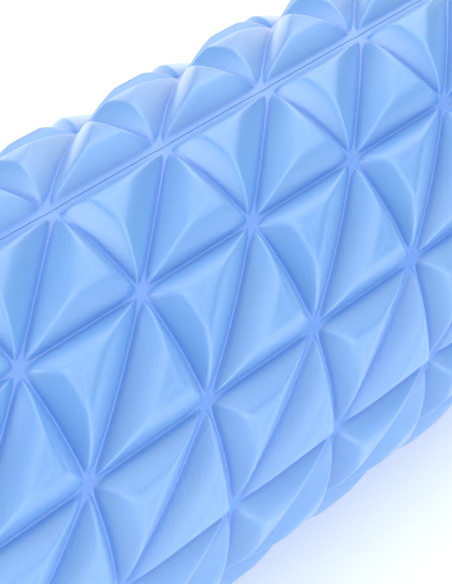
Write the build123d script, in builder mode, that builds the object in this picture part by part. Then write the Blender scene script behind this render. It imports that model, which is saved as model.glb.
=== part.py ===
from build123d import *
import os
from math import atan, cos, degrees, hypot, radians, sin

# Massage roller: a rigid hollow core tube with two foam half sleeves bonded round it.
# The roller lies along X with its centre at the origin. One bonded seam between the
# sleeves is on top (+Z) and the other is underneath. The foam's skin is a grid of
# three-sided pyramid pads: six rows on each sleeve, each row a line of rectangular
# cells that a diagonal splits into two right-angled triangles.

# ---- driving dimensions, mm ----
pad_pitch = 41.25             # cell length along the roller
columns = 8                   # cells along the roller
rows_per_sleeve = 6           # cells round each sleeve
groove_radius = 63.5          # axis to the groove floor, at the corners of the cells
peak_radius = 70.0            # axis to the highest point of a pad
groove_width = 1.6            # flat floor between neighbouring pads
seam_margin = 1.6             # plain foam between a seam and the first line of cells
flat_top = 0.6                # inradius of the small flat on a pad's peak
core_radius = 50.0            # outside of the core tube
core_wall = 3.5               # wall of the core tube
core_recess = 1.0             # how far each end of the tube sits inside the foam
rim_radius = 1.2              # rounding of the tube's rims
glue_line = 0.1               # bond between the foam and the tube
seam_gap = 0.2                # bond between the two sleeves

# ---- worked out from them ----
roller_length = pad_pitch * columns
margin_angle = degrees(seam_margin / groove_radius)
row_angle = (180 - 2 * margin_angle) / rows_per_sleeve
facet_width = 2 * groove_radius * sin(radians(row_angle / 2))
facet_distance = groove_radius * cos(radians(row_angle / 2))

# A pad's three sides rise at one angle and meet over the centre of the triangle's
# inscribed circle, which lies to one side of the middle of the facet.
cell_inradius = (pad_pitch + facet_width - hypot(pad_pitch, facet_width)) / 2
peak_side = facet_width / 2 - cell_inradius
peak_height = (peak_radius**2 - peak_side**2) ** 0.5 - facet_distance
side_taper = degrees(atan((cell_inradius - groove_width / 2 - flat_top) / peak_height))


def row_line(row, side):
    """Angle from the top of the line of cell corners before a row, towards -Y or +Y."""
    return -side * (margin_angle + row * row_angle)


def on_groove_circle(angle):
    """Point (y, z) at the groove radius, at an angle from the top towards -Y."""
    return -groove_radius * sin(radians(angle)), groove_radius * cos(radians(angle))


def sleeve_ring(side):
    """Cross-section that the pads stand on, from one seam to the other, on -Y or +Y."""
    seam_face = side * seam_gap / 2
    crown = groove_radius * cos(radians(margin_angle))
    corners = [on_groove_circle(row_line(row, side)) for row in range(rows_per_sleeve + 1)]
    with BuildSketch(Plane.YZ) as ring:
        with BuildLine():
            Polyline((seam_face, crown), *corners, (seam_face, -crown), close=True)
        make_face()
        Circle(radius=core_radius + glue_line, mode=Mode.SUBTRACT)
    return ring.sketch


def facet_plane(row, side):
    """Flat facet of one row, its x along the roller and its z outwards."""
    outward = Vector(0, 0, 1).rotate(Axis.X, row_line(row + 0.5, side))
    return Plane(origin=outward * facet_distance, x_dir=(1, 0, 0), z_dir=outward)


def pad_outlines(plane):
    """The footprints of one row's pads, two to a cell, set back from the groove lines."""
    shrink = 1 - groove_width / 2 / cell_inradius
    leg_x = pad_pitch * shrink
    leg_y = facet_width * shrink
    corner = ((groove_width - pad_pitch) / 2, (facet_width - groove_width) / 2)
    with BuildSketch(plane) as outlines:
        with GridLocations(pad_pitch, 1, columns, 1):
            with Locations(corner):
                Polygon((0, 0), (0, -leg_y), (leg_x, 0), align=None)
            with Locations((-corner[0], -corner[1])):
                Polygon((0, 0), (0, leg_y), (-leg_x, 0), align=None)
    return outlines.sketch


os.makedirs("parts", exist_ok=True)

# ---- foam half sleeves ----
for name, side in (("foam_sleeve_front", -1), ("foam_sleeve_rear", 1)):
    with BuildPart() as foam_sleeve:
        extrude(sleeve_ring(side), amount=roller_length / 2, both=True)
        for row in range(rows_per_sleeve):
            extrude(pad_outlines(facet_plane(row, side)), amount=peak_height, taper=side_taper)
    foam_sleeve.part.label = name
    export_step(foam_sleeve.part, f"parts/{name}.step")

# ---- core tube ----
with BuildPart() as core_tube:
    with BuildSketch(Plane.YZ):
        Circle(radius=core_radius)
        Circle(radius=core_radius - core_wall, mode=Mode.SUBTRACT)
    extrude(amount=roller_length / 2 - core_recess, both=True)
    fillet(core_tube.edges().filter_by(GeomType.CIRCLE), radius=rim_radius)
core_tube.part.label = "core_tube"
export_step(core_tube.part, "parts/core_tube.step")
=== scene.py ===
import math

import bmesh
import bpy
import numpy as np
from bpy.props import FloatProperty, FloatVectorProperty, IntProperty, PointerProperty
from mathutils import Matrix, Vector


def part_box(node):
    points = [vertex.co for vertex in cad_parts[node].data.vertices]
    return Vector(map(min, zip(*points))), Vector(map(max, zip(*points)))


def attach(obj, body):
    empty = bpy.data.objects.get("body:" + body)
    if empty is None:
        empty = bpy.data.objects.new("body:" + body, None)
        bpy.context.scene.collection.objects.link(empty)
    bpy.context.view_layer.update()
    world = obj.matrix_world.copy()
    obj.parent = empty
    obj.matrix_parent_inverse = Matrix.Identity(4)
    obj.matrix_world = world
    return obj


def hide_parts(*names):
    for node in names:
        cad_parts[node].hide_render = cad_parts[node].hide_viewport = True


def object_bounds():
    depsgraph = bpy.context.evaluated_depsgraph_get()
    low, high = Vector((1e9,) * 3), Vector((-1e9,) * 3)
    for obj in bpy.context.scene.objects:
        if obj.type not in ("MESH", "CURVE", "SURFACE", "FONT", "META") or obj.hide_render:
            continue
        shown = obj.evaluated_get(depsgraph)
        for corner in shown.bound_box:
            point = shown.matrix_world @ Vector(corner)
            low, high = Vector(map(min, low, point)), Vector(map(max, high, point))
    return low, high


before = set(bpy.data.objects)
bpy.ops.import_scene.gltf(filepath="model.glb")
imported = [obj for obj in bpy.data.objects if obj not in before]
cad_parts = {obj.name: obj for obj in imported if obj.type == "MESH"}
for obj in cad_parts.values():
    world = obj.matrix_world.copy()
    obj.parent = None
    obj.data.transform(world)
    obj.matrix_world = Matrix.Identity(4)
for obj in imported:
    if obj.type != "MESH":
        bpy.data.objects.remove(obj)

bl_info = {
    "name": "Foam roller",
    "version": (1, 0, 0),
    "blender": (4, 5, 0),
    "location": "3D View > Sidebar > Roller",
    "description": "Builds a pyramid-pad foam roller round its packed core tube",
    "category": "Add Mesh",
}

MM = 0.001
CAD_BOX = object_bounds()
SLEEVE_LOW, SLEEVE_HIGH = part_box("foam_sleeve_front")
ROLLER_LENGTH = SLEEVE_HIGH.x - SLEEVE_LOW.x
TUBE_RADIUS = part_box("core_tube")[1].z
SEAM_GAP = -SLEEVE_HIGH.y
GLUE_LINE = 0.1 * MM
WELD_DISTANCE = 0.002 * MM
BORDER_REACH = 0.01 * MM
BORDER_STEPS = 4
FLOOR_HALF_WIDTH = 6.0
# azimuth from +X and elevation of each panel's middle in degrees, and its brightness:
# low in front, behind on the left, high in front, behind on the right
LIGHT_PANELS = ((-90, 12, 2.4), (144, 38, 3.2), (-60, 64, 1.9), (36, 38, 1.5))


def linear(hex_colour):
    """Linear red, green and blue of an sRGB hex colour."""
    channels = [int(hex_colour[i:i + 2], 16) / 255 for i in (1, 3, 5)]
    return tuple(c / 12.92 if c <= 0.04045 else ((c + 0.055) / 1.055) ** 2.4 for c in channels)


# ---------------------------------------------------------------- settings

class FoamSettings(bpy.types.PropertyGroup):
    """Sizes and colours of the two foam half sleeves."""
    columns: IntProperty(name="Columns", default=8, min=1,
                         description="Cells of pads along the roller")
    rows: IntProperty(name="Rows", default=12, min=4,
                      description="Cells of pads all the way round, an even number")
    groove_radius: FloatProperty(name="Groove radius", default=63.5 * MM, unit="LENGTH",
                                 description="Axis to the floor of the grooves")
    peak_height: FloatProperty(name="Peak height", default=6.5 * MM, unit="LENGTH",
                               description="Groove floor to the tip of a pad that isn't levelled off")
    tip_level: FloatProperty(name="Tip level", default=0.72, subtype="FACTOR",
                             description="Share of the climb at which a pad's tip levels off")
    groove_width: FloatProperty(name="Groove width", default=0.6 * MM, unit="LENGTH",
                                description="Flat floor between two pads, halfway along them")
    groove_flare: FloatProperty(name="Groove flare", default=1.8 * MM, unit="LENGTH",
                                description="How much wider each side of a groove gets at a crossing")
    flare_sharpness: FloatProperty(name="Flare sharpness", default=9.0,
                                   description="How closely that widening keeps to the crossing")
    seam_margin: FloatProperty(name="Seam margin", default=1.6 * MM, unit="LENGTH",
                               description="Plain foam between a seam and the first line of cells")
    peak_along: FloatProperty(name="Peak along", default=0.239, subtype="FACTOR",
                              description="Square corner to tip along the roller, in cells")
    peak_round: FloatProperty(name="Peak round", default=0.30, subtype="FACTOR",
                              description="Square corner to tip round the roller, in cells")
    ridge_softness: FloatProperty(name="Ridge softness", default=0.02, subtype="FACTOR",
                                  description="Rounding of the ridges low down, in slopes")
    peak_softness: FloatProperty(name="Peak softness", default=0.09, subtype="FACTOR",
                                 description="Rounding of the ridges at the peak, in slopes")
    foot_softness: FloatProperty(name="Foot softness", default=0.012, subtype="FACTOR",
                                 description="Rounding where a pad leaves the groove, in slopes")
    seam_softness: FloatProperty(name="Seam softness", default=0.035, subtype="FACTOR",
                                 description="Rounding where a pad leaves the seam strip, in slopes")
    toe_height: FloatProperty(name="Toe height", default=0.25 * MM, unit="LENGTH",
                              description="Extra steep rise at the foot of a pad")
    toe_run: FloatProperty(name="Toe run", default=0.05, subtype="FACTOR",
                           description="How far up the slope that extra rise fades out")
    fullness: FloatProperty(name="Fullness", default=1.75,
                            description="1 gives flat sides, more makes them swell outwards")
    edge_rounding: FloatProperty(name="Edge rounding", default=0.16 * MM, unit="LENGTH",
                                 description="Radius along the seams and the cut ends")
    colour: FloatVectorProperty(name="Foam colour", default=linear("#689BD3"), size=3,
                                subtype="COLOR", description="Dyed EVA foam")
    # Painted highlight: this paler blue lightens the foam along the ridges, standing in for the shine
    # that light puts on them.
    ridge_highlight_colour: FloatVectorProperty(name="Crest colour", default=linear("#78A9E6"), size=3,
                                      subtype="COLOR", description="Stretched, paler skin on the ridges")
    # Painted shade: this darker blue darkens the foam down in the grooves, standing in for the shade
    # that falls there; it is also the random mottling tone of the foam and of its cut faces.
    shade_and_mottle_colour: FloatVectorProperty(name="Groove colour", default=linear("#568CD8"), size=3,
                                       subtype="COLOR", description="Denser skin in the grooves")


class CoreSettings(bpy.types.PropertyGroup):
    """Finish of the core tube."""
    colour: FloatVectorProperty(name="Tube colour", default=linear("#2B2E33"), size=3,
                                subtype="COLOR", description="Pigmented ABS")
    streak_spacing: FloatProperty(name="Streak spacing", default=2.5 * MM, unit="LENGTH",
                                  description="Width of the marks that the die leaves")


class StageSettings(bpy.types.PropertyGroup):
    """Floor, light and camera."""
    floor_colour: FloatVectorProperty(name="Floor colour", default=linear("#F8F9FB"), size=3,
                                      subtype="COLOR", description="Pale matt floor")
    tent_light: FloatProperty(name="Tent light", default=0.2,
                              description="Brightness of the white tent between its panels")
    panel_light: FloatProperty(name="Panel light", default=1.2,
                               description="Share of the panels' brightness")
    panel_core: FloatProperty(name="Panel core", default=math.radians(8), unit="ROTATION",
                              description="Angle from a panel's middle within which it is brightest")
    panel_rim: FloatProperty(name="Panel rim", default=math.radians(38), unit="ROTATION",
                             description="Angle from a panel's middle at which it has faded out")
    view_along: FloatProperty(name="View centre", default=66.5 * MM, unit="LENGTH",
                              description="Point on the roller's axis that the camera faces")
    view_distance: FloatProperty(name="View distance", default=554.5 * MM, unit="LENGTH",
                                 description="Camera to that point")
    view_azimuth: FloatProperty(name="Azimuth", default=math.radians(-46.98), unit="ROTATION",
                                description="Camera's turn about the upright, 0 looks along +Y")
    view_elevation: FloatProperty(name="Elevation", default=math.radians(37.61), unit="ROTATION",
                                  description="Camera's height above the horizon")
    lens: FloatProperty(name="Lens", default=114.0, description="Focal length in millimetres")


# ---------------------------------------------------------------- shader helpers

def add_node(tree, kind, settings=None, **links):
    """Adds one node. settings are its attributes, or its sockets where the name is an input's;
    links join an input, named with _ for each space, to another node's output."""
    node = tree.nodes.new(kind)
    for name, value in (settings or {}).items():
        if name in node.inputs:
            node.inputs[name].default_value = value
        else:
            setattr(node, name, value)
    for name, source in links.items():
        tree.links.new(source, node.inputs[name.replace("_", " ")])
    return node


def new_material(name):
    """An empty node material with its output node."""
    material = bpy.data.materials.new(name)
    material.use_nodes = True
    tree = material.node_tree
    tree.nodes.clear()
    return material, tree, tree.nodes.new("ShaderNodeOutputMaterial")


def moulded_eva_foam(settings):
    """Compression-moulded EVA foam: a closed, waxy skin over a body that scatters light softly, with
    the grain of the mould in its shine, painted shade darkening it down in the grooves and a painted
    highlight lightening its ridges. The real grain is finer than this: it is drawn 0.7 mm across so that
    it shows."""
    material, tree, output = new_material("moulded_eva_foam")
    place = add_node(tree, "ShaderNodeTexCoord").outputs["Object"]
    cloud = add_node(tree, "ShaderNodeTexNoise", {"Scale": 1 / (28 * MM), "Detail": 3.0}, Vector=place)
    drift = add_node(tree, "ShaderNodeMapRange", {"From Min": 0.35, "From Max": 0.7, "To Max": 0.35},
                     Value=cloud.outputs["Fac"])
    body = add_node(tree, "ShaderNodeMixRGB", {"Color1": (*settings.colour, 1),
                                               "Color2": (*settings.shade_and_mottle_colour, 1)},
                    Fac=drift.outputs["Result"])
    # Painted shade: the foam darkens towards the groove floors, by a per-point mask made with the pads.
    groove_shade = add_node(tree, "ShaderNodeAttribute", {"attribute_name": "groove_shade"})
    low = add_node(tree, "ShaderNodeMixRGB", {"Color2": (*settings.shade_and_mottle_colour, 1)},
                   Fac=groove_shade.outputs["Fac"], Color1=body.outputs["Color"])
    # Painted highlight: the foam lightens along the ridges, by a per-point mask made with the pads.
    ridge_highlight = add_node(tree, "ShaderNodeAttribute", {"attribute_name": "ridge_highlight"})
    stretch = add_node(tree, "ShaderNodeMapRange", {"To Max": 0.3}, Value=ridge_highlight.outputs["Fac"])
    skin = add_node(tree, "ShaderNodeMixRGB", {"Color2": (*settings.ridge_highlight_colour, 1)},
                    Fac=stretch.outputs["Result"], Color1=low.outputs["Color"])
    grain = add_node(tree, "ShaderNodeTexNoise", {"Scale": 1 / (0.7 * MM), "Detail": 2.0},
                     Vector=place)
    pores = add_node(tree, "ShaderNodeTexVoronoi", {"Scale": 1 / (1.6 * MM)}, Vector=place)
    pits = add_node(tree, "ShaderNodeMapRange", {"From Max": 0.25}, Value=pores.outputs["Distance"])
    grain_bump = add_node(tree, "ShaderNodeBump", {"Strength": 0.6, "Distance": 0.14 * MM},
                          Height=grain.outputs["Fac"])
    pit_bump = add_node(tree, "ShaderNodeBump", {"Strength": 0.12, "Distance": 0.1 * MM},
                        Height=pits.outputs["Result"], Normal=grain_bump.outputs["Normal"])
    gloss = add_node(tree, "ShaderNodeMapRange", {"To Min": 0.40, "To Max": 0.50},
                     Value=grain.outputs["Fac"])
    film = add_node(tree, "ShaderNodeMapRange", {"To Min": 0.28, "To Max": 0.34},
                    Value=grain.outputs["Fac"])
    shader = add_node(tree, "ShaderNodeBsdfPrincipled", {
        "IOR": 1.5, "Subsurface Weight": 0.15, "Subsurface Radius": (0.6, 0.9, 1.6),
        "Subsurface Scale": 1.2 * MM, "Coat Weight": 1.0, "Coat IOR": 1.5},
        Base_Color=skin.outputs["Color"], Roughness=gloss.outputs["Result"],
        Coat_Roughness=film.outputs["Result"], Normal=pit_bump.outputs["Normal"],
        Coat_Normal=pit_bump.outputs["Normal"])
    tree.links.new(shader.outputs["BSDF"], output.inputs["Surface"])
    return material


def cut_eva_foam(settings):
    """The same foam where a blade has cut it: open cells, matt and a little darker."""
    material, tree, output = new_material("cut_eva_foam")
    place = add_node(tree, "ShaderNodeTexCoord").outputs["Object"]
    cells = add_node(tree, "ShaderNodeTexVoronoi", {"Scale": 1 / (0.8 * MM)}, Vector=place)
    blotch = add_node(tree, "ShaderNodeTexNoise", {"Scale": 1 / (6 * MM), "Detail": 4.0}, Vector=place)
    colour = add_node(tree, "ShaderNodeMixRGB", {"Color1": (*settings.shade_and_mottle_colour, 1),
                                                 "Color2": (*settings.colour, 1)},
                      Fac=blotch.outputs["Fac"])
    bump = add_node(tree, "ShaderNodeBump", {"Strength": 0.5, "Distance": 0.25 * MM},
                    Height=cells.outputs["Distance"])
    shader = add_node(tree, "ShaderNodeBsdfPrincipled", {
        "IOR": 1.48, "Roughness": 0.85, "Subsurface Weight": 0.15, "Subsurface Scale": 1.6 * MM},
        Base_Color=colour.outputs["Color"], Normal=bump.outputs["Normal"])
    tree.links.new(shader.outputs["BSDF"], output.inputs["Surface"])
    return material


def extruded_abs(settings):
    """Extruded ABS tube: satin plastic with faint straight streaks that the die draws along it."""
    material, tree, output = new_material("extruded_abs")
    place = add_node(tree, "ShaderNodeTexCoord").outputs["Object"]
    along = 1 / (120 * MM)
    across = 1 / settings.streak_spacing
    stretch = add_node(tree, "ShaderNodeMapping", {"Scale": (along, across, across)}, Vector=place)
    streaks = add_node(tree, "ShaderNodeTexNoise", {"Scale": 1.0, "Detail": 3.0},
                       Vector=stretch.outputs["Vector"])
    haze = add_node(tree, "ShaderNodeTexNoise", {"Scale": 1 / (15 * MM), "Detail": 4.0}, Vector=place)
    lighter = tuple(min(1.0, c * 1.5 + 0.01) for c in settings.colour)
    colour = add_node(tree, "ShaderNodeMixRGB", {"Color1": (*settings.colour, 1),
                                                 "Color2": (*lighter, 1)},
                      Fac=haze.outputs["Fac"])
    gloss = add_node(tree, "ShaderNodeMapRange", {"To Min": 0.3, "To Max": 0.5},
                     Value=streaks.outputs["Fac"])
    bump = add_node(tree, "ShaderNodeBump", {"Strength": 0.25, "Distance": 0.1 * MM},
                    Height=streaks.outputs["Fac"])
    shader = add_node(tree, "ShaderNodeBsdfPrincipled", {"IOR": 1.53},
                      Base_Color=colour.outputs["Color"], Roughness=gloss.outputs["Result"],
                      Normal=bump.outputs["Normal"])
    tree.links.new(shader.outputs["BSDF"], output.inputs["Surface"])
    return material


def matt_floor(settings):
    """Pale matt acrylic of a light table, lit faintly from below, with the faintest mottling."""
    material, tree, output = new_material("matt_floor")
    place = add_node(tree, "ShaderNodeTexCoord").outputs["Object"]
    mottle = add_node(tree, "ShaderNodeTexNoise", {"Scale": 1 / (60 * MM), "Detail": 3.0}, Vector=place)
    darker = tuple(c * 0.97 for c in settings.floor_colour)
    colour = add_node(tree, "ShaderNodeMixRGB", {"Color1": (*settings.floor_colour, 1),
                                                 "Color2": (*darker, 1)},
                      Fac=mottle.outputs["Fac"])
    shader = add_node(tree, "ShaderNodeBsdfPrincipled", {
        "Roughness": 0.7, "Emission Color": (1, 1, 1, 1), "Emission Strength": 0.25},
        Base_Color=colour.outputs["Color"])
    tree.links.new(shader.outputs["BSDF"], output.inputs["Surface"])
    return material


# ---------------------------------------------------------------- pads and sleeves

def even_to_ends(count):
    """Shares from 0 to 1, closer together at both ends than in the middle."""
    crowding = 0.55
    even = np.linspace(0, 1, count + 1)
    return (1 - crowding) * even + crowding * (1 - np.cos(math.pi * even)) / 2


def pad_template(cell_x, cell_v, settings):
    """Points of one triangular cell, its square corner at 0, as rings that shrink from the outline
    to the peak. Returns rings by points by (x, v), and the peak."""
    peak = np.array([settings.peak_along * cell_x, settings.peak_round * cell_v])
    corners = np.array([[0, 0], [cell_x, 0], [0, cell_v]])
    steps_on_sides = (28, 34, 24)
    outline = []
    for start, count in enumerate(steps_on_sides):
        shares = even_to_ends(count)[:-1, None]
        outline.append(corners[start] * (1 - shares) + corners[(start + 1) % 3] * shares)
    outline = np.concatenate(outline)
    # rings lie close together at the foot, where a pad curves most
    inward = np.array([0, 0.025, 0.035, 0.045, 0.055, 0.065, 0.08, 0.095, 0.115, 0.145, 0.18,
                       0.23, 0.30, 0.38, 0.47, 0.57, 0.67, 0.77, 0.86, 0.93, 0.975])
    rings = outline[None] + inward[:, None, None] * (peak - outline)[None]
    return rings, peak


def side_distances(points, cell_x, cell_v):
    """Distance of points in a cell from its long side along x, its side along v and its diagonal."""
    diagonal = math.hypot(cell_x, cell_v)
    slant = (1 - points[..., 0] / cell_x - points[..., 1] / cell_v) * cell_x * cell_v / diagonal
    return np.stack([points[..., 1], points[..., 0], slant])


def side_setbacks(points, cell_x, cell_v, settings):
    """How far a pad's foot stands back from each side of its cell: least halfway along the side."""
    diagonal = cell_x ** 2 + cell_v ** 2
    along = np.stack([points[..., 0] / cell_x, points[..., 1] / cell_v,
                      ((cell_x - points[..., 0]) * cell_x + points[..., 1] * cell_v) / diagonal])
    from_middle = np.abs(2 * np.clip(along, 0, 1) - 1)
    return settings.groove_width / 2 + settings.groove_flare * from_middle ** settings.flare_sharpness


def soft_floor(value, softness):
    """value where it is well above 0, easing to 0 below, over a bend of about softness."""
    return softness * np.logaddexp(0, value / softness)


def pad_surface(points, peak, cell_x, cell_v, beside_seam, settings):
    """Height of a pad, and how strongly a point takes the painted highlight on a ridge and the painted
    shade in a groove.
    """
    distances = side_distances(points, cell_x, cell_v)
    reach = side_distances(peak, cell_x, cell_v)[:, None]
    setbacks = side_setbacks(points, cell_x, cell_v, settings)
    shares = (distances - setbacks) / (reach - setbacks)
    if beside_seam:
        shares[0] = soft_floor(shares[0], settings.seam_softness)
    climb = np.clip(shares.min(axis=0), 0, 1)
    softness = settings.ridge_softness + (settings.peak_softness - settings.ridge_softness) * climb
    rise = -softness * np.log(np.exp(-shares / softness).sum(axis=0))
    rise = rise / (1 - softness * math.log(len(shares)))
    lifted = np.clip(soft_floor(rise, settings.foot_softness), 0, settings.tip_level)
    swell = 1 - (1 - lifted) ** settings.fullness
    toe = 1 - np.exp(-lifted / settings.toe_run)
    height = (settings.peak_height - settings.toe_height) * swell + settings.toe_height * toe
    # Per-point masks for the painted highlight along the ridges and the painted shade towards the groove
    # floors.
    ridge_width, ridge_start, ridge_fade, groove_shade_reach = 0.10, 0.05, 0.15, 0.12
    nearest, second = np.sort(shares, axis=0)[:2]
    ridge_highlight = np.exp(-((second - nearest) / ridge_width) ** 2)
    ridge_highlight = ridge_highlight * np.clip((rise - ridge_start) / ridge_fade, 0, 1)
    groove_shade = np.clip(1 - rise / groove_shade_reach, 0, 1)
    return height, ridge_highlight, groove_shade


def as_faces(indices):
    """Rows of vertex indices as tuples of plain whole numbers."""
    return [tuple(row) for row in np.asarray(indices).tolist()]


def strip_between(first, second):
    """Quads that join two rows of as many vertices, each ordered the same way."""
    return as_faces(np.stack([first[:-1], first[1:], second[1:], second[:-1]], axis=-1))


def sleeve_skin(settings):
    """The outer skin of a half sleeve, unrolled. Returns its points, by x along the roller, v round
    it, height, painted ridge highlight and painted groove shade, then its faces and its size."""
    rows = settings.rows // 2
    margin = settings.seam_margin
    cell_x = ROLLER_LENGTH / settings.columns
    cell_v = (math.pi * settings.groove_radius - 2 * margin) / rows
    rings, peak = pad_template(cell_x, cell_v, settings)
    ring_count, point_count = rings.shape[:2]
    local = np.concatenate([rings.reshape(-1, 2), peak[None]])
    surfaces = [np.column_stack(pad_surface(local, peak, cell_x, cell_v, beside_seam, settings))
                for beside_seam in (False, True)]
    points, quads, tips = [], [], []
    for row in range(rows):
        for column in range(settings.columns):
            for turned in (False, True):
                corner = np.array([column + turned, row + turned]) * (cell_x, cell_v) + (0, margin)
                first = len(points) * len(local)
                seam_row = rows - 1 if turned else 0
                turned_local = -local if turned else local
                points.append(np.column_stack([corner + turned_local, surfaces[row == seam_row]]))
                index = first + np.arange(ring_count * point_count).reshape(ring_count, point_count)
                after = np.roll(index, -1, axis=1)
                quads.append(np.stack([index[:-1], after[:-1], after[1:], index[1:]], axis=-1))
                tip = np.full(point_count, first + ring_count * point_count)
                tips.append(np.column_stack([index[-1], after[-1], tip]))
    points = np.concatenate(points)
    key = np.round(points[:, :2] / WELD_DISTANCE).astype(np.int64)
    _, kept, welded = np.unique(key, axis=0, return_index=True, return_inverse=True)
    welded = welded.ravel()
    points = points[kept]
    faces = as_faces(welded[np.concatenate(quads).reshape(-1, 4)])
    faces += as_faces(welded[np.concatenate(tips)])
    size = (ROLLER_LENGTH, rows * cell_v + 2 * margin)
    for line, seam in ((margin, 0), (size[1] - margin, size[1])):
        inner = np.flatnonzero(np.abs(points[:, 1] - line) < WELD_DISTANCE / 2)
        inner = inner[np.argsort(points[inner, 0])]
        strip = points[inner].copy()
        strip[:, 1] = seam
        outer = len(points) + np.arange(len(inner))
        points = np.concatenate([points, strip])
        faces += strip_between(inner, outer)
    return points, faces, size


def border_loop(points, size):
    """Indices of the skin's border vertices, in order round it, each one's outward direction, and
    how many stand on each side."""
    x, v = points[:, 0], points[:, 1]
    at_low_x, at_high_x = x < BORDER_REACH, x > size[0] - BORDER_REACH
    at_low_v, at_high_v = v < BORDER_REACH, v > size[1] - BORDER_REACH
    low_v, high_v = np.flatnonzero(at_low_v), np.flatnonzero(at_high_v)
    low_x, high_x = np.flatnonzero(at_low_x), np.flatnonzero(at_high_x)
    sides = [low_v[np.argsort(x[low_v])], high_x[np.argsort(v[high_x])],
             high_v[np.argsort(-x[high_v])], low_x[np.argsort(-v[low_x])]]
    loop = np.concatenate([side[:-1] for side in sides])
    outward = np.column_stack([at_high_x[loop].astype(int) - at_low_x[loop],
                               at_high_v[loop].astype(int) - at_low_v[loop]])
    return loop, outward, [len(side) - 1 for side in sides]


def rolled(points, first_row, settings):
    """Places unrolled points (x, v, height) on the roller: v runs from the top seam towards -Y."""
    angle = points[:, 1] / settings.groove_radius + first_row * 2 * math.pi / settings.rows
    radius = settings.groove_radius + points[:, 2]
    along = points[:, 0] - ROLLER_LENGTH / 2
    return np.column_stack([along, -radius * np.sin(angle), radius * np.cos(angle)])


def round_border(points, loop, outward, settings):
    """Sets the skin's border back and carries it over a rounded edge. Returns the points, the faces
    of the rounding and its last ring of vertices."""
    rounding = settings.edge_rounding
    points[loop, :2] -= outward * (rounding, rounding + SEAM_GAP)
    rings, faces = [points], []
    previous = loop
    for step in range(1, BORDER_STEPS + 1):
        turn = step / BORDER_STEPS * math.pi / 2
        ring = points[loop].copy()
        ring[:, :2] += outward * rounding * math.sin(turn)
        ring[:, 2] -= rounding * (1 - math.cos(turn))
        ring[:, 3:] = 0
        index = len(points) + (step - 1) * len(loop) + np.arange(len(loop))
        rings.append(ring)
        after, before = np.roll(index, -1), np.roll(previous, -1)
        faces += as_faces(np.stack([previous, before, after, index], axis=-1))
        previous = index
    return np.concatenate(rings), faces, previous


def sleeve_shell(settings):
    """A half sleeve unrolled and closed: padded skin, rounded border, cut ends, seam faces and bore.
    Returns its points, its faces, and how many of those, from the first, are moulded skin."""
    points, faces, size = sleeve_skin(settings)
    loop, outward, side_counts = border_loop(points, size)
    points, rounded, last_ring = round_border(points, loop, outward, settings)
    faces += rounded
    skin_count = len(faces)
    starts = np.cumsum([0] + side_counts)
    edge = np.append(last_ring, last_ring[0])
    low_v, high_x, high_v, low_x = (edge[starts[i]:starts[i + 1] + 1] for i in range(4))
    bore_ends = []
    for side in (high_x, low_x[::-1]):
        ring = points[side].copy()
        ring[:, 2] = TUBE_RADIUS + GLUE_LINE - settings.groove_radius
        bore_end = len(points) + np.arange(len(side))
        points = np.concatenate([points, ring])
        faces += strip_between(side, bore_end)
        bore_ends.append(bore_end)
    right, left = bore_ends
    faces += strip_between(left, right)
    faces.append((*low_v.tolist(), int(right[0]), int(left[0])))
    faces.append((*high_v.tolist(), int(left[-1]), int(right[-1])))
    return points, faces, skin_count


def make_sleeve(name, first_row, settings):
    """One half sleeve as a closed mesh: its first material is for the moulded skin, its second for
    the cut ends, the seam faces and the bore."""
    points, faces, skin_count = sleeve_shell(settings)
    mesh = bpy.data.meshes.new(name)
    mesh.from_pydata(rolled(points, first_row, settings).tolist(), [], faces)
    # The painted ridge highlight and painted groove shade masks, stored per point for the foam material.
    for attribute, column in (("ridge_highlight", 3), ("groove_shade", 4)):
        layer = mesh.attributes.new(attribute, "FLOAT", "POINT")
        layer.data.foreach_set("value", points[:, column].astype(np.float32))
    is_skin = np.arange(len(faces)) < skin_count
    mesh.polygons.foreach_set("use_smooth", is_skin)
    mesh.polygons.foreach_set("material_index", (~is_skin).astype(np.int32))
    if mesh.validate():
        raise RuntimeError(name + " has faces that had to be repaired")
    sleeve = bpy.data.objects.new(name, mesh)
    bpy.context.scene.collection.objects.link(sleeve)
    return sleeve


def settle_normals(piece):
    """Points every face of a closed mesh outwards."""
    work = bmesh.new()
    work.from_mesh(piece.data)
    bmesh.ops.recalc_face_normals(work, faces=work.faces)
    work.to_mesh(piece.data)
    work.free()


# ---------------------------------------------------------------- operators

class ROLLER_OT_foam_sleeves(bpy.types.Operator):
    """Build the two foam half sleeves with their pyramid pads"""
    bl_idname = "roller.foam_sleeves"
    bl_label = "Foam half sleeves"

    def execute(self, context):
        settings = context.scene.roller_foam
        skin = moulded_eva_foam(settings)
        cut = cut_eva_foam(settings)
        for name, node, first_row in (("foam_skin_front", "foam_sleeve_front", 0),
                                      ("foam_skin_rear", "foam_sleeve_rear", settings.rows // 2)):
            sleeve = make_sleeve(name, first_row, settings)
            settle_normals(sleeve)
            sleeve.data.materials.append(skin)
            sleeve.data.materials.append(cut)
            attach(sleeve, "root")
            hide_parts(node)
        return {"FINISHED"}


class ROLLER_OT_core_tube(bpy.types.Operator):
    """Finish the core tube"""
    bl_idname = "roller.core_tube"
    bl_label = "Core tube"

    def execute(self, context):
        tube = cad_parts["core_tube"]
        tube.data.materials.clear()
        tube.data.materials.append(extruded_abs(context.scene.roller_core))
        return {"FINISHED"}


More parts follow.
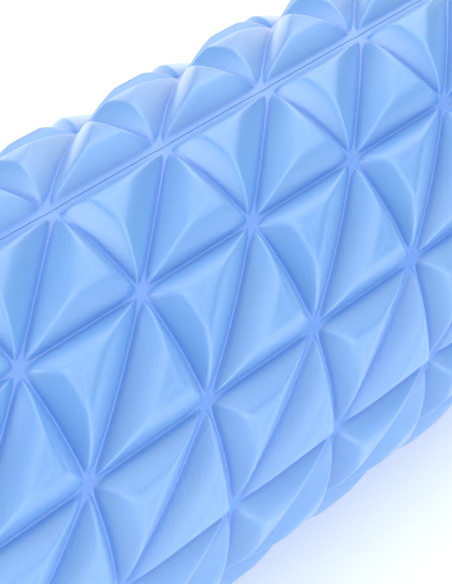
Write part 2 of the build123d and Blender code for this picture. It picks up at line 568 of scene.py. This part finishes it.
class ROLLER_OT_stage(bpy.types.Operator):
    """Set up the floor, the light and the camera"""
    bl_idname = "roller.stage"
    bl_label = "Floor, light and camera"

    def execute(self, context):
        settings = context.scene.roller_stage
        self.add_floor(settings)
        self.add_lights(settings)
        self.add_camera(settings)
        return {"FINISHED"}

    def add_floor(self, settings):
        height = CAD_BOX[0][2]
        corners = [(x * FLOOR_HALF_WIDTH, y * FLOOR_HALF_WIDTH, height)
                   for x, y in ((-1, -1), (1, -1), (1, 1), (-1, 1))]
        mesh = bpy.data.meshes.new("floor")
        mesh.from_pydata(corners, [], [(0, 1, 2, 3)])
        floor = bpy.data.objects.new("floor", mesh)
        floor.data.materials.append(matt_floor(settings))
        bpy.context.scene.collection.objects.link(floor)

    def add_lights(self, settings):
        """A dim white tent with four soft panels of light in it."""
        world = bpy.data.worlds.new("tent")
        world.use_nodes = True
        tree = world.node_tree
        place = add_node(tree, "ShaderNodeTexCoord").outputs["Generated"]
        so_far = None
        for azimuth, elevation, strength in LIGHT_PANELS:
            turn, rise = math.radians(azimuth), math.radians(elevation)
            facing = add_node(tree, "ShaderNodeVectorMath", {"operation": "DOT_PRODUCT"}, Vector=place)
            facing.inputs[1].default_value = (math.cos(turn) * math.cos(rise),
                                              math.sin(turn) * math.cos(rise), math.sin(rise))
            panel = add_node(tree, "ShaderNodeMapRange", {
                "interpolation_type": "SMOOTHSTEP", "From Min": math.cos(settings.panel_rim),
                "From Max": math.cos(settings.panel_core), "To Max": strength * settings.panel_light},
                Value=facing.outputs["Value"])
            total = add_node(tree, "ShaderNodeMath", {"operation": "ADD"})
            if so_far is None:
                total.inputs[0].default_value = settings.tent_light
            else:
                tree.links.new(so_far, total.inputs[0])
            tree.links.new(panel.outputs["Result"], total.inputs[1])
            so_far = total.outputs["Value"]
        background = tree.nodes["Background"]
        background.inputs["Color"].default_value = (1.0, 1.0, 1.0, 1.0)
        tree.links.new(so_far, background.inputs["Strength"])
        bpy.context.scene.world = world
        bpy.context.scene.view_settings.view_transform = "Standard"

    def add_camera(self, settings):
        azimuth, elevation = settings.view_azimuth, settings.view_elevation
        towards_camera = Vector((math.sin(azimuth) * math.cos(elevation),
                                 -math.cos(azimuth) * math.cos(elevation), math.sin(elevation)))
        centre = Vector((settings.view_along, 0, 0))
        data = bpy.data.cameras.new("camera")
        data.lens = settings.lens
        data.clip_start = 0.01
        camera = bpy.data.objects.new("camera", data)
        camera.location = centre + towards_camera * settings.view_distance
        camera.rotation_euler = (-towards_camera).to_track_quat("-Z", "Y").to_euler()
        bpy.context.scene.collection.objects.link(camera)
        bpy.context.scene.camera = camera


class ROLLER_PT_panel(bpy.types.Panel):
    """Lists the roller's pieces and the stage"""
    bl_idname = "ROLLER_PT_panel"
    bl_label = "Foam roller"
    bl_space_type = "VIEW_3D"
    bl_region_type = "UI"
    bl_category = "Roller"

    def draw(self, context):
        for group, operator in (("roller_foam", ROLLER_OT_foam_sleeves),
                                ("roller_core", ROLLER_OT_core_tube),
                                ("roller_stage", ROLLER_OT_stage)):
            box = self.layout.box()
            settings = getattr(context.scene, group)
            for name in settings.bl_rna.properties.keys():
                if name not in ("rna_type", "name"):
                    box.prop(settings, name)
            box.operator(operator.bl_idname)


CLASSES = (FoamSettings, CoreSettings, StageSettings, ROLLER_OT_foam_sleeves, ROLLER_OT_core_tube,
           ROLLER_OT_stage, ROLLER_PT_panel)


def register():
    for cls in CLASSES:
        bpy.utils.register_class(cls)
    bpy.types.Scene.roller_foam = PointerProperty(type=FoamSettings)
    bpy.types.Scene.roller_core = PointerProperty(type=CoreSettings)
    bpy.types.Scene.roller_stage = PointerProperty(type=StageSettings)


def unregister():
    for name in ("roller_foam", "roller_core", "roller_stage"):
        delattr(bpy.types.Scene, name)
    for cls in reversed(CLASSES):
        bpy.utils.unregister_class(cls)


def main():
    register()
    bpy.ops.roller.stage()
    bpy.ops.roller.core_tube()
    bpy.ops.roller.foam_sleeves()


if __name__ == "__main__":
    main()
